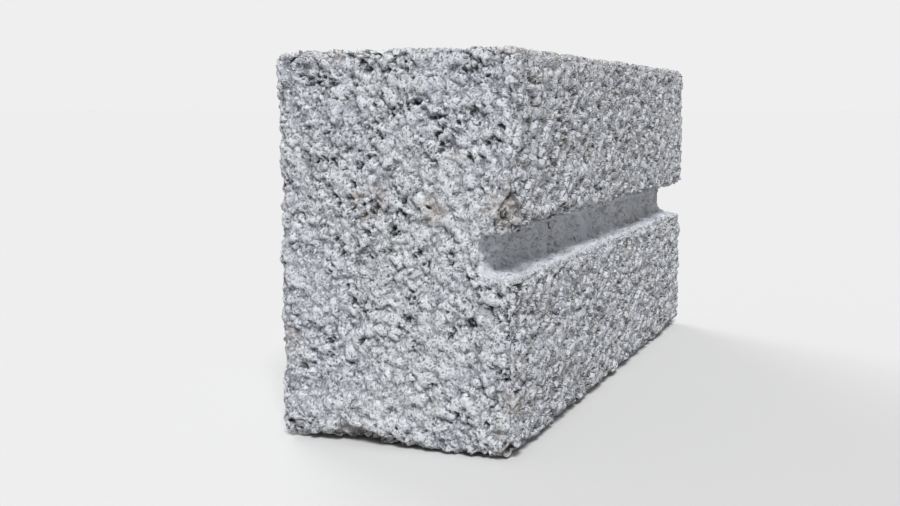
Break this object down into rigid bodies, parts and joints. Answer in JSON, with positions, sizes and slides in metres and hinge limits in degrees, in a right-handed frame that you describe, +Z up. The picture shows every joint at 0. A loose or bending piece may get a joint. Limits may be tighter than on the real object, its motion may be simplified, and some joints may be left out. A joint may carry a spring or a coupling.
{
  "type": "concrete block",
  "caption": "Solid cast concrete building block with open-textured faces, worn edges and a key groove along the middle of one large face.",
  "frame": {"origin": "middle of the bottom bed, with the block standing as it is laid", "axes": "+X along the block's length, +Y through its thickness towards the grooved face, +Z up"},
  "size_m": [0.44, 0.14, 0.215],
  "materials": {
    "concrete": "matt light grey concrete, open-textured with pits and coarse lumps"
  },
  "bodies": {
    "root": {"block": "concrete"}
  },
  "joints": []
}
